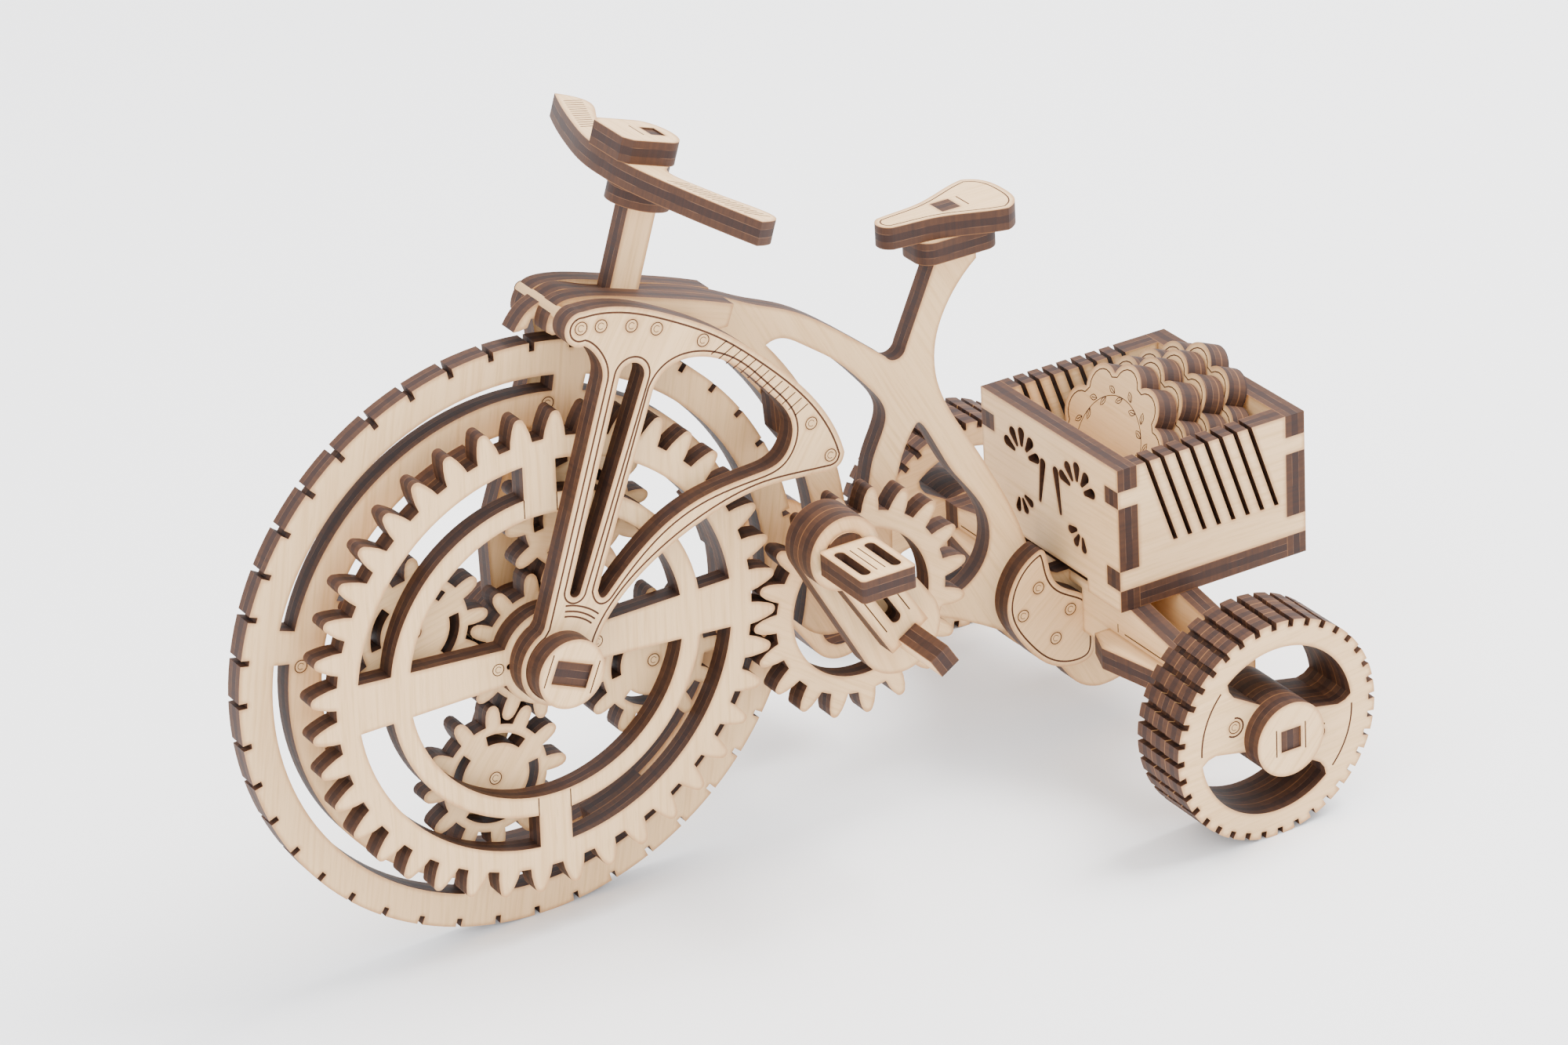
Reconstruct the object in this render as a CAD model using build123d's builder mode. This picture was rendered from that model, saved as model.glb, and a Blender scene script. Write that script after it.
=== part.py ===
from build123d import *
import os
from math import atan2, cos, degrees, hypot, radians, sin

# Plywood model of a tricycle, pressed together from laser-cut sheet and round pins.
# Frame: origin on the front axle, +X forward, +Y to the rider's left, +Z up, millimetres.
# Side plates are drawn as (u, z) seen from the rider's left: u runs rearward, so X = -u.

PLY = 4.0                 # sheet thickness
RUN = 0.1                 # side play of a sheet that turns between its neighbours
FIT = 0.06                # radial play of a turning fit
PIN_R = 1.05              # round assembly pins

TYRE_R = 52.0             # front tyre, also the height of the front axle
TYRE_INNER_R = 37.2
TYRE_NOTCHES = 43

# Layers, counted outward from the centre plate, each one sheet thick
CENTRE_Y = -PLY / 2       # start of the centre sheet
PLANET_Y = PLY / 2        # planets, sun gears, inner spacers, cheeks
GEAR_Y = PLANET_Y + PLY   # toothed rings, drive gears, outer spacers
FORK_Y = GEAR_Y + PLY
CAP_Y = FORK_Y + PLY
CRANK_Y = CAP_Y + PLY

# Front wheel gearing
RING_TEETH, RING_ROOT, RING_TIP = 40, 38.6, 43.2
RING_PHASE = 2.6
PLATE_TURN = -1.9         # spokes of the toothed ring, degrees from level
PLANET_R = 23.5           # planet centres
PLANET_ANGLES = [66.4 + 90 * k for k in range(4)]
BAR_W, BAR_H, BAR_TURN = 6.8, 4.2, -23.6   # fixed front axle, a flat bar
BUSH_R = 5.0

# Drive
DRIVE_AT = (59.7, -9.1)
DRIVE_TEETH, DRIVE_ROOT, DRIVE_TIP = 19, 16.7, 21.0
DRIVE_PHASE = 175.96
CRANK_DIR, CRANK_LEN = 121.7, 23.0
SQUARE = 4.0              # turned axles are square sticks of sheet
BORE_R = 2.9              # round hole that a square axle turns in
PEDAL_END_Y = 36.0

# Rear
REAR_AT = (113.4, -31.8)
REAR_R = 20.2
REAR_Y = 42.0
REAR_PLIES = 3
HANGER_Y = 34.0
BASKET_U = (104.4, 143.2)
BASKET_HALF = 21.2
BASKET_Z = (-20.5, 6.5)
PANEL_U = (106.4, 116.4)

# Saddle and handlebar
SEAT_Z = 45.3
STEM_TOP = (31.4, 81.0)
STEM_LEAN = 18.5
STEM_W = 5.4
STEM_END = 27.2           # length of the stem axis down to its foot

os.makedirs("parts", exist_ok=True)


def keep(piece, name):
    """Label a finished sub-part and write its file."""
    piece.label = name
    export_step(piece, f"parts/{name}.step")


def side(y):
    """Drawing plane (u, z) of a side sheet that starts at y and grows towards +Y."""
    return Plane(origin=(0, y, 0), x_dir=(-1, 0, 0), z_dir=(0, 1, 0))


def level(z):
    """Drawing plane (u, -y) of a level sheet, growing upward from z."""
    return Plane(origin=(0, 0, z), x_dir=(-1, 0, 0), z_dir=(0, 0, 1))


def cross(u):
    """Drawing plane (y, z) of a cross sheet that starts at u and grows rearward."""
    return Plane(origin=(-u, 0, 0), x_dir=(0, 1, 0), z_dir=(1, 0, 0))


def left_or_right(y, thick, is_left):
    """Start of a sheet at distance y from the middle, on either side."""
    return y if is_left else -y - thick


def polar(r, angle, about=(0, 0)):
    return (about[0] + r * cos(radians(angle)), about[1] + r * sin(radians(angle)))


def outline(*stretches):
    """Closed face from stretches: two points are a line, more are one smooth curve."""
    with BuildSketch(mode=Mode.PRIVATE) as face:
        with BuildLine():
            for stretch in stretches:
                if len(stretch) == 2:
                    Line(*stretch)
                else:
                    Spline(*stretch)
        make_face()
    return face.sketch


def smooth(*points):
    """Closed face inside one smooth curve."""
    with BuildSketch(mode=Mode.PRIVATE) as face:
        with BuildLine():
            Spline(*points, periodic=True)
        make_face()
    return face.sketch


def tapered_slot(c1, r1, c2, r2):
    """Face between two round ends of different radius, with tangent sides."""
    length = hypot(c2[0] - c1[0], c2[1] - c1[1])
    along = degrees(atan2(c2[1] - c1[1], c2[0] - c1[0]))
    off = degrees(atan2((length**2 - (r1 - r2) ** 2) ** 0.5, r1 - r2))
    corners = [polar(r1, along + off, c1), polar(r2, along + off, c2)]
    corners += [polar(r2, along - off, c2), polar(r1, along - off, c1)]
    with BuildSketch(mode=Mode.PRIVATE) as face:
        Polygon(*corners, align=None)
        with Locations(c1):
            Circle(r1)
        with Locations(c2):
            Circle(r2)
    return face.sketch


def arc_slot(r_in, r_out, centre_angle, span):
    """Face of a ring's stretch, for the curved slots and lugs."""
    a, b = centre_angle - span / 2, centre_angle + span / 2
    mid = centre_angle
    with BuildSketch(mode=Mode.PRIVATE) as face:
        with BuildLine():
            ThreePointArc(polar(r_out, a), polar(r_out, mid), polar(r_out, b))
            Line(polar(r_out, b), polar(r_in, b))
            ThreePointArc(polar(r_in, b), polar(r_in, mid), polar(r_in, a))
            Line(polar(r_in, a), polar(r_out, a))
        make_face()
    return face.sketch


def tooth(profile, tip_r):
    """One gear tooth on the +u axis: profile is (radius, half angle) pairs from the root."""
    right = [polar(r, -half) for r, half in profile]
    left = [polar(r, half) for r, half in reversed(profile)]
    with BuildSketch(mode=Mode.PRIVATE) as face:
        with BuildLine():
            Polyline(*right)
            ThreePointArc(right[-1], (tip_r, 0), left[0])
            Polyline(*left)
            Line(left[-1], right[0])
        make_face()
    return face.sketch


def stem_plane(drop):
    """Plane across the leaning stem, drop below its top: x rearward (a), y to the right."""
    lean = radians(STEM_LEAN)
    u = STEM_TOP[0] - drop * sin(lean)
    z = STEM_TOP[1] - drop * cos(lean)
    up = (-sin(lean), 0, cos(lean))
    return Plane(origin=(-u, 0, z), x_dir=(-cos(lean), 0, -sin(lean)), z_dir=up)


# ---------------------------------------------------------------- front wheel

RING_TOOTH = [(RING_ROOT - 0.4, 3.0), (RING_ROOT, 3.0), (40.0, 2.6), (41.6, 1.85), (42.5, 1.3)]
DRIVE_TOOTH = [(DRIVE_ROOT - 0.4, 6.0), (DRIVE_ROOT, 5.9), (18.0, 5.1), (19.5, 3.8), (20.4, 2.5)]
FINGER_TEETH, FINGER_ROOT, FINGER_TIP = 12, 9.7, 13.3
FINGER_TOOTH = [(FINGER_ROOT - 0.4, 8.2), (10.6, 7.5), (11.75, 6.3), (12.6, 4.9), (13.1, 2.9)]


def tyre():
    """Tyre sheet: notched rim with curved slots, four arms behind the planets, and a hub."""
    with BuildPart() as sheet:
        with BuildSketch(side(CENTRE_Y)):
            Circle(TYRE_R)
            Circle(TYRE_INNER_R, mode=Mode.SUBTRACT)
            Circle(8.5)
            for angle in PLANET_ANGLES:
                with Locations(Location(polar(22.8, angle), angle)):
                    Rectangle(30, 5.0)
            for k in range(4):
                add(arc_slot(43.2, 46.0, 29.7 + 90 * k, 82.5), mode=Mode.SUBTRACT)
            with PolarLocations(TYRE_R, TYRE_NOTCHES):
                Rectangle(3.0, 1.0, mode=Mode.SUBTRACT)
            Circle(BUSH_R + FIT, mode=Mode.SUBTRACT)
            with PolarLocations(PLANET_R, 4, start_angle=PLANET_ANGLES[0]):
                Circle(PIN_R, mode=Mode.SUBTRACT)
            with PolarLocations(41.1, 4, start_angle=79.3):
                Circle(PIN_R, mode=Mode.SUBTRACT)
        extrude(amount=PLY)
    return sheet.part


def ring_gear(y):
    """Toothed ring with an inner ring, two short spokes between them, and a bar with a hub."""
    with BuildPart() as plate:
        with BuildSketch(side(y)):
            Circle(RING_ROOT)
            Circle(34.8, mode=Mode.SUBTRACT)
            Circle(28.9)
            Circle(25.4, mode=Mode.SUBTRACT)
            Circle(8.5)
            with Locations(Rotation(0, 0, PLATE_TURN)):
                with Locations((0, 30.5), (0, -30.5)):
                    Rectangle(6.0, 10.2)
                Polygon((-35.6, -4.5), (-7, -3.2), (7, -3.2), (35.6, -4.5), (35.6, 4.5), (7, 3.2),
                        (-7, 3.2), (-35.6, 4.5), align=None)
            for k in range(RING_TEETH):
                add(tooth(RING_TOOTH, RING_TIP).rotate(Axis.Z, RING_PHASE + 360 / RING_TEETH * k))
            Circle(BUSH_R + FIT, mode=Mode.SUBTRACT)
            with Locations(polar(BUSH_R + 2.15, 180 + PLATE_TURN), polar(BUSH_R + 2.15, PLATE_TURN)):
                Circle(PIN_R / 2, mode=Mode.SUBTRACT)
        extrude(amount=PLY - RUN)
    return plate.part


def planet_spacers():
    """Four lugs that hold the toothed ring off the tyre sheet."""
    with BuildPart() as lugs:
        with BuildSketch(side(PLANET_Y)):
            for k in range(4):
                add(arc_slot(34.8, 38.6, 21.4 + 90 * k, 18))
        extrude(amount=PLY)
    return lugs.part


def finger_wheel(y, at, phase, hole, slots_at):
    """Twelve-finger wheel: a sun gear with a flat-bar hole, or a planet on a round pin."""
    with BuildPart() as wheel:
        with BuildSketch(side(y + RUN)):
            with Locations(at):
                Circle(FINGER_ROOT)
            for k in range(FINGER_TEETH):
                turned = tooth(FINGER_TOOTH, FINGER_TIP).rotate(Axis.Z, phase + 30 * k)
                add(turned.moved(Location((at[0], at[1], 0))))
            if hole == "bar":
                with Locations(Rotation(0, 0, BAR_TURN)):
                    Rectangle(BAR_W, BAR_H, mode=Mode.SUBTRACT)
            else:
                with Locations(at):
                    Circle(PIN_R + FIT, mode=Mode.SUBTRACT)
                for k in range(4):
                    slot = arc_slot(6.3, 8.1, slots_at + 90 * k, 56)
                    add(slot.moved(Location((at[0], at[1], 0))), mode=Mode.SUBTRACT)
        extrude(amount=PLY - 2 * RUN)
    return wheel.part


def pins(places, y0, y1, r=PIN_R):
    """Round pins along Y between two distances."""
    with BuildPart() as group:
        with BuildSketch(side(y0)):
            with Locations(*places):
                Circle(r)
        extrude(amount=y1 - y0)
    return group.part


def wheel_pins():
    """Four pins that carry the planets, and four short ones in the tyre sheet."""
    long_pins = pins([polar(PLANET_R, a) for a in PLANET_ANGLES], CENTRE_Y, GEAR_Y - RUN)
    short_pins = pins([polar(41.1, 79.3 + 90 * k) for k in range(4)], CENTRE_Y, -CENTRE_Y)
    return Compound(children=[long_pins, short_pins])


def front_axle():
    """Flat bar through the fork and the right stay, fixed."""
    right_end, left_end = -GEAR_Y - PLY + 0.4, CAP_Y + PLY - 0.4
    with BuildPart() as bar:
        with BuildSketch(side(right_end)):
            with Locations(Rotation(0, 0, BAR_TURN)):
                Rectangle(BAR_W, BAR_H)
        extrude(amount=left_end - right_end)
    return bar.part


def hub_bushes():
    """Two round bushes on the flat bar, one in each turning sheet of the wheel."""
    with BuildPart() as bushes:
        for y in (CENTRE_Y, GEAR_Y):
            with BuildSketch(side(y)):
                Circle(BUSH_R)
                with Locations(Rotation(0, 0, BAR_TURN)):
                    Rectangle(BAR_W, BAR_H, mode=Mode.SUBTRACT)
            extrude(amount=PLY)
    return bushes.part


def hub_cap(y):
    with BuildPart() as cap:
        with BuildSketch(side(y)):
            Circle(6.1)
            with Locations(Rotation(0, 0, BAR_TURN)):
                Rectangle(BAR_W, BAR_H, mode=Mode.SUBTRACT)
        extrude(amount=PLY)
    return cap.part


keep(tyre(), "tyre")
keep(planet_spacers(), "planet_spacers")
keep(front_axle(), "front_axle")
keep(hub_bushes(), "hub_bushes")
keep(ring_gear(GEAR_Y), "ring_gear")
keep(finger_wheel(PLANET_Y, (0, 0), 0, "bar", 0), "sun_gear")
for number, angle in enumerate(PLANET_ANGLES, 1):
    planet = finger_wheel(PLANET_Y, polar(PLANET_R, angle), -2.2, "pin", 70)
    keep(planet, f"planet_gear_{number}")
keep(hub_cap(CAP_Y), "hub_cap_left")
keep(hub_cap(-GEAR_Y - PLY), "hub_cap_right")
keep(wheel_pins(), "wheel_pins")

# ---------------------------------------------------------------- forks and frame

FORK_PINS = [(8.5, 57.8), (12.1, 57.2), (17.6, 55.7), (22.1, 53.9), (30.4, 49.5), (49.6, 29.0),
             (52.9, 22.2)]
FORK_TOP = [(7.4, 60.4), (12.0, 60.4), (17.6, 59.0), (25.6, 55.2), (33.6, 50.2), (41.6, 43.2),
            (49.6, 34.4), (54.4, 26.0), (55.6, 22.0)]
FORK_CORNER = [(55.6, 22.0), (54.6, 20.0), (52.8, 19.4)]
FORK_LOW = [(52.8, 19.4), (45.6, 20.0), (40.0, 20.2), (29.6, 18.2), (18.3, 13.1), (8.0, 3.7), (5.6, -4.5)]
FORK_FRONT = [(7.6, 55.2), (9.6, 54.0), (11.0, 52.0), (11.7, 50.0), (11.4, 47.2)]
FORK_WINDOW = [(10.3, 10.6), (16.0, 15.7), (21.7, 19.4), (27.4, 21.6), (38.9, 23.0), (43.4, 24.0),
               (46.0, 28.8), (41.7, 37.1), (36.0, 43.4), (30.3, 46.6), (25.1, 47.0), (20.7, 43.6)]
HEAD_TOP = [(6.4, 54.8), (6.9, 57.0), (8.8, 59.0), (12.0, 59.3), (18.2, 57.9), (25.6, 55.5),
            (33.1, 53.0), (41.0, 50.0)]
HEAD_LOW = [(39.6, 46.4), (30.4, 47.6), (20.0, 51.0), (12.0, 53.3), (7.4, 54.0)]
HEAD_FILL = [(9.4, 55.2), (9.6, 58.2), (14.0, 58.0), (24.0, 54.4), (33.0, 50.0), (31.0, 47.9),
             (22.0, 50.6), (12.0, 54.2)]
STAY_LEG = [(-3.2, 5.0), (-3.2, 18.0), (8.6, 49.0), (8.2, 54.0), (16.0, 54.0), (16.0, 50.0),
            (3.6, 18.0), (3.2, 5.0)]
CORNER_BLOCK = [(47.2, 31.5), (50.2, 31.9), (54.2, 24.8), (54.4, 21.4), (50.2, 20.8), (47.6, 24.8)]


def fork(y):
    """Fork side: hub eye, thin front leg with a slot, curved rear leg round a window."""
    with BuildPart() as plate:
        with BuildSketch(side(y)):
            add(outline(FORK_TOP, FORK_CORNER, FORK_LOW, [FORK_LOW[-1], (-7.1, 1.4)],
                        [(-7.1, 1.4), (-2.3, 7.4)], [(-2.3, 7.4), FORK_FRONT[-1]],
                        FORK_FRONT[::-1], [FORK_FRONT[0], FORK_TOP[0]]))
            with Locations((8.5, 57.6)):
                Circle(3.0)
            Circle(7.2)
            add(outline(FORK_WINDOW, [FORK_WINDOW[-1], (7.9, 11.2)],
                        [(7.9, 11.2), (8.6, 9.6), (10.3, 10.6)]), mode=Mode.SUBTRACT)
            add(tapered_slot((17.0, 47.0), 2.3, (3.8, 12.2), 1.0), mode=Mode.SUBTRACT)
            with Locations(Rotation(0, 0, BAR_TURN)):
                Rectangle(BAR_W, BAR_H, mode=Mode.SUBTRACT)
            with Locations(*FORK_PINS):
                Circle(PIN_R, mode=Mode.SUBTRACT)
        extrude(amount=PLY)
    return plate.part


def head_plate():
    """Left side of the head, on the centre sheet."""
    with BuildPart() as plate:
        with BuildSketch(side(PLANET_Y)):
            add(outline(HEAD_TOP, [HEAD_TOP[-1], HEAD_LOW[0]], HEAD_LOW, [HEAD_LOW[-1], HEAD_TOP[0]]))
            with Locations(*FORK_PINS[:5]):
                Circle(PIN_R, mode=Mode.SUBTRACT)
        extrude(amount=PLY)
    return plate.part


def stay():
    """Right side of the head with a leg down to the hub, close beside the tyre."""
    with BuildPart() as plate:
        with BuildSketch(side(-GEAR_Y)):
            add(outline(HEAD_TOP, [HEAD_TOP[-1], HEAD_LOW[0]], HEAD_LOW, [HEAD_LOW[-1], HEAD_TOP[0]]))
            Polygon(*STAY_LEG, align=None)
            Circle(7.2)
            with Locations(Rotation(0, 0, BAR_TURN)):
                Rectangle(BAR_W, BAR_H, mode=Mode.SUBTRACT)
            with Locations(*FORK_PINS[:5]):
                Circle(PIN_R, mode=Mode.SUBTRACT)
        extrude(amount=PLY - RUN)
    return plate.part


def head_filler():
    """Hidden packing between the head plate and the fork."""
    with BuildPart() as plate:
        with BuildSketch(side(GEAR_Y)):
            Polygon(*HEAD_FILL, align=None)
            with Locations(*FORK_PINS[:5]):
                Circle(PIN_R, mode=Mode.SUBTRACT)
        extrude(amount=PLY)
    return plate.part


def corner_spacers():
    """Two blocks that fill the gap between the fork's rear corner and the frame leg."""
    blocks = []
    for y in (PLANET_Y, GEAR_Y):
        with BuildPart() as block:
            with BuildSketch(side(y)):
                Polygon(*CORNER_BLOCK, align=None)
                with Locations(*FORK_PINS[5:]):
                    Circle(PIN_R, mode=Mode.SUBTRACT)
            extrude(amount=PLY)
        blocks.append(block.part)
    return Compound(children=blocks)


def fork_pins():
    """Five pins through the head and two through the fork's rear corner."""
    head_pins = pins(FORK_PINS[:5], -GEAR_Y, CAP_Y)
    corner_pins = pins(FORK_PINS[5:], CENTRE_Y, CAP_Y)
    return Compound(children=[head_pins, corner_pins])


LEG_IN_R, LEG_OUT_R = 56.2, 62.4
BACKBONE = [(2.4, 54.1), (3.9, 56.1), (5.9, 57.7), (8.0, 58.5), (10.7, 59.4), (15.9, 58.0), (27.5, 54.6),
            (35.4, 52.2), (41.1, 49.8), (46.7, 46.9), (52.8, 44.2), (62.4, 37.8), (71.6, 30.2)]
POST_BACK = [(90.2, 43.2), (84.0, 36.4), (81.4, 30.0), (81.4, 23.2), (86.8, 11.2), (92.0, 1.6),
             (97.2, -10.4), (99.2, -16.0), (104.0, -20.5)]
BELLY = [(112.0, -45.3), (107.0, -42.8), (102.6, -36.8), (94.4, -29.6), (80.0, -21.6), (64.6, -16.7)]
WINDOW_TOP = [polar(LEG_OUT_R, 38.6), (51.2, 39.4), (56.0, 36.8), (60.8, 33.2), (67.6, 26.0),
              (71.0, 20.0), (68.0, 12.0), (64.2, 2.0), polar(LEG_OUT_R, 1.2)]
TEARDROP = [(76.8, 16.1), (74.4, 12.4), (71.9, 4.0), (71.0, -7.2), (72.8, -15.2), (80.8, -18.6),
            (89.2, -13.6), (90.2, -5.6), (84.0, 4.8), (79.4, 13.6)]
CHEEK = [(97.7, -12.7), (92.6, -17.0), (91.0, -22.6), (94.6, -30.6), (102.6, -36.8),
         (107.7, -36.4), (108.6, -29.4), (107.6, -24.8), (104.0, -22.2), (100.0, -17.4)]
CHEEK_PINS = [(97.5, -19.8), (94.2, -24.2), (103.9, -25.9), (100.7, -30.6)]


def frame_plate():
    """Centre sheet: head, curved leg down to the drive, seat post and rear axle eye."""
    leg_ends = polar(LEG_IN_R, -12), polar(LEG_IN_R, 84)
    with BuildPart() as plate:
        with BuildSketch(side(CENTRE_Y)):
            with BuildLine():
                Spline(*BACKBONE)
                ThreePointArc(BACKBONE[-1], (73.4, 29.1), (75.6, 30.8))
                Polyline((75.6, 30.8), (82.4, SEAT_Z), (90.2, SEAT_Z), POST_BACK[0])
                Spline(*POST_BACK)
                Line(POST_BACK[-1], (122.0, -20.5))
                ThreePointArc((122.0, -20.5), (127.0, -31.0), BELLY[0])
                Spline(*BELLY)
                Line(BELLY[-1], leg_ends[0])
                ThreePointArc(leg_ends[0], polar(LEG_IN_R, 36), leg_ends[1])
                Polyline(leg_ends[1], (5.1, 54.5), BACKBONE[0])
            make_face()
            with Locations(DRIVE_AT):
                Circle(9.0)
            Circle(54.4, mode=Mode.SUBTRACT)
            with BuildLine():
                Spline(*WINDOW_TOP)
                ThreePointArc(WINDOW_TOP[-1], polar(LEG_OUT_R, 20), WINDOW_TOP[0])
            make_face(mode=Mode.SUBTRACT)
            add(smooth(*TEARDROP), mode=Mode.SUBTRACT)
            with Locations(DRIVE_AT, REAR_AT):
                Circle(BORE_R, mode=Mode.SUBTRACT)
            with Locations(*FORK_PINS, *CHEEK_PINS):
                Circle(PIN_R, mode=Mode.SUBTRACT)
            with Locations((85.8, SEAT_Z + PLY)):
                Rectangle(3.6, 2 * PLY)
        extrude(amount=PLY)
        with BuildSketch(stem_plane(STEM_END)):
            Rectangle(STEM_W, PLY)
        extrude(amount=8, mode=Mode.SUBTRACT)
    return plate.part


def cheek(y):
    """Doubling plate pinned to the tail of the frame."""
    with BuildPart() as plate:
        with BuildSketch(side(y)):
            add(smooth(*CHEEK))
            with Locations(*CHEEK_PINS):
                Circle(PIN_R, mode=Mode.SUBTRACT)
        extrude(amount=PLY)
    return plate.part


keep(frame_plate(), "frame_plate")
keep(corner_spacers(), "corner_spacers")
keep(fork(FORK_Y), "fork")
keep(head_plate(), "head_plate")
keep(head_filler(), "head_filler")
keep(stay(), "stay")
for hand, is_left in (("left", True), ("right", False)):
    keep(cheek(left_or_right(PLANET_Y, PLY, is_left)), f"cheek_{hand}")
keep(fork_pins(), "fork_pins")
keep(pins(CHEEK_PINS, -GEAR_Y, GEAR_Y), "cheek_pins")

# ---------------------------------------------------------------- handlebar and saddle

BAR_FRONT = [(-7.8, 0), (-6.8, 9.6), (-5.2, 15.2), (-2.2, 24.0), (1.6, 33.4)]
BAR_REAR = [(1.6, 33.4), (6.0, 30.4), (2.8, 21.4), (0.2, 15.3), (-1.0, 8.0), (1.2, 5.2), (3.5, 0)]


def handlebar_stem():
    """Flat upright between the head spacers, with a tenon up through disc, bar and block."""
    with BuildPart() as stem:
        with BuildSketch(stem_plane(STEM_END)):
            Rectangle(STEM_W, PLY)
        extrude(amount=STEM_END - 3 * PLY)
        with BuildSketch(stem_plane(3 * PLY)):
            Rectangle(2.8, PLY)
        extrude(amount=3 * PLY - 0.3)
    return stem.part


def handlebar():
    """Winged bar, pointed at its ends, threaded on the stem's tenon."""
    with BuildPart() as bar:
        with BuildSketch(stem_plane(2 * PLY)):
            for way in (1, -1):
                front = [(a, way * b) for a, b in BAR_FRONT]
                rear = [(a, way * b) for a, b in BAR_REAR]
                add(outline(front, rear, [rear[-1], front[0]]))
            Rectangle(2.8, PLY, mode=Mode.SUBTRACT)
        extrude(amount=PLY)
    return bar.part


def stem_block():
    """Block on top of the bar: square front with small corners off, round back."""
    with BuildPart() as block:
        with BuildSketch(stem_plane(PLY)):
            Polygon((-8.4, -4.6), (-7.0, -6.0), (0, -6.0), (0, 6.0), (-7.0, 6.0), (-8.4, 4.6), align=None)
            Ellipse(3.8, 6.0)
            Rectangle(2.8, PLY, mode=Mode.SUBTRACT)
        extrude(amount=PLY)
    return block.part


def stem_disc():
    """Round washer under the bar."""
    with BuildPart() as disc:
        with BuildSketch(stem_plane(3 * PLY)):
            Circle(5.4)
            Rectangle(2.8, PLY, mode=Mode.SUBTRACT)
        extrude(amount=PLY)
    return disc.part


SADDLE_HALF = [(73.9, 2.4), (77.9, 2.8), (81.9, 3.3), (85.9, 4.6), (89.9, 6.3), (93.6, 7.4)]


def saddle():
    """Saddle top: narrow nose, flared back with rounded corners."""
    right = [(u, -half) for u, half in SADDLE_HALF]
    left = [(u, half) for u, half in reversed(SADDLE_HALF)]
    with BuildPart() as top:
        with BuildSketch(level(SEAT_Z + PLY)):
            with BuildLine():
                Spline(*right)
                Spline(right[-1], (96.4, -5.0), (97.3, 0), (96.4, 5.0), left[0])
                Spline(*left)
                ThreePointArc(left[-1], (72.3, 0), right[0])
            make_face()
            with Locations((85.8, 0)):
                Rectangle(3.6, PLY, mode=Mode.SUBTRACT)
        extrude(amount=PLY)
    return top.part


def saddle_spacer():
    """Rounded strip between the post and the saddle."""
    with BuildPart() as strip:
        with BuildSketch(level(SEAT_Z)):
            with Locations((86.2, 0)):
                RectangleRounded(15.6, 8.8, 3.0)
            with Locations((85.8, 0)):
                Rectangle(3.6, PLY, mode=Mode.SUBTRACT)
        extrude(amount=PLY)
    return strip.part


keep(handlebar_stem(), "handlebar_stem")
keep(handlebar(), "handlebar")
keep(stem_block(), "stem_block")
keep(stem_disc(), "stem_disc")
keep(saddle(), "saddle")
keep(saddle_spacer(), "saddle_spacer")

# ---------------------------------------------------------------- drive and pedals

TREAD_Y = (26.3, 40.0)


def drive_gear(y):
    """Open toothed wheel with one bar across it for the square axle."""
    with BuildPart() as wheel:
        with BuildSketch(side(y)):
            with Locations(DRIVE_AT):
                Circle(DRIVE_ROOT)
                Circle(13.4, mode=Mode.SUBTRACT)
            with Locations(Location(DRIVE_AT, CRANK_DIR)):
                Rectangle(28.4, 8.4)
            for k in range(DRIVE_TEETH):
                turned = tooth(DRIVE_TOOTH, DRIVE_TIP).rotate(Axis.Z, DRIVE_PHASE + 360 / DRIVE_TEETH * k)
                add(turned.moved(Location((*DRIVE_AT, 0))))
            with Locations(Location(DRIVE_AT, CRANK_DIR)):
                Rectangle(SQUARE, SQUARE, mode=Mode.SUBTRACT)
        extrude(amount=PLY - RUN)
    return wheel.part


def pedal_axle():
    """Square stick through the drive gear and both cranks."""
    with BuildPart() as stick:
        with BuildSketch(side(-PEDAL_END_Y)):
            with Locations(Location(DRIVE_AT, CRANK_DIR)):
                Rectangle(SQUARE, SQUARE)
        extrude(amount=2 * PEDAL_END_Y)
    return stick.part


def crank(is_left):
    """Arm on the square axle, a slotted face plate on it, and a drum of two rings."""
    direction = CRANK_DIR if is_left else CRANK_DIR + 180
    drum = polar(CRANK_LEN, direction, DRIVE_AT)
    with BuildPart() as arm:
        with BuildSketch(side(left_or_right(CRANK_Y, PLY, is_left))):
            add(tapered_slot(DRIVE_AT, 8.0, drum, 6.6))
            with Locations(Location(DRIVE_AT, direction)):
                Rectangle(SQUARE, SQUARE, mode=Mode.SUBTRACT)
            with Locations(drum):
                Circle(3.9, mode=Mode.SUBTRACT)
        extrude(amount=PLY)
    with BuildPart() as face_plate:
        with BuildSketch(side(left_or_right(CRANK_Y + PLY, PLY, is_left))):
            with Locations(Location(polar(9.35, direction, DRIVE_AT), direction)):
                Rectangle(17.3, 8.4)
            with Locations(Location(polar(9.7, direction, DRIVE_AT), direction)):
                SlotOverall(9.6, 2.0, mode=Mode.SUBTRACT)
            with Locations(Location(DRIVE_AT, direction)):
                Rectangle(SQUARE, SQUARE, mode=Mode.SUBTRACT)
            with Locations(drum):
                Circle(6.6)
                Circle(3.9, mode=Mode.SUBTRACT)
        extrude(amount=PLY)
    return Compound(children=[arm.part, face_plate.part])


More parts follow.
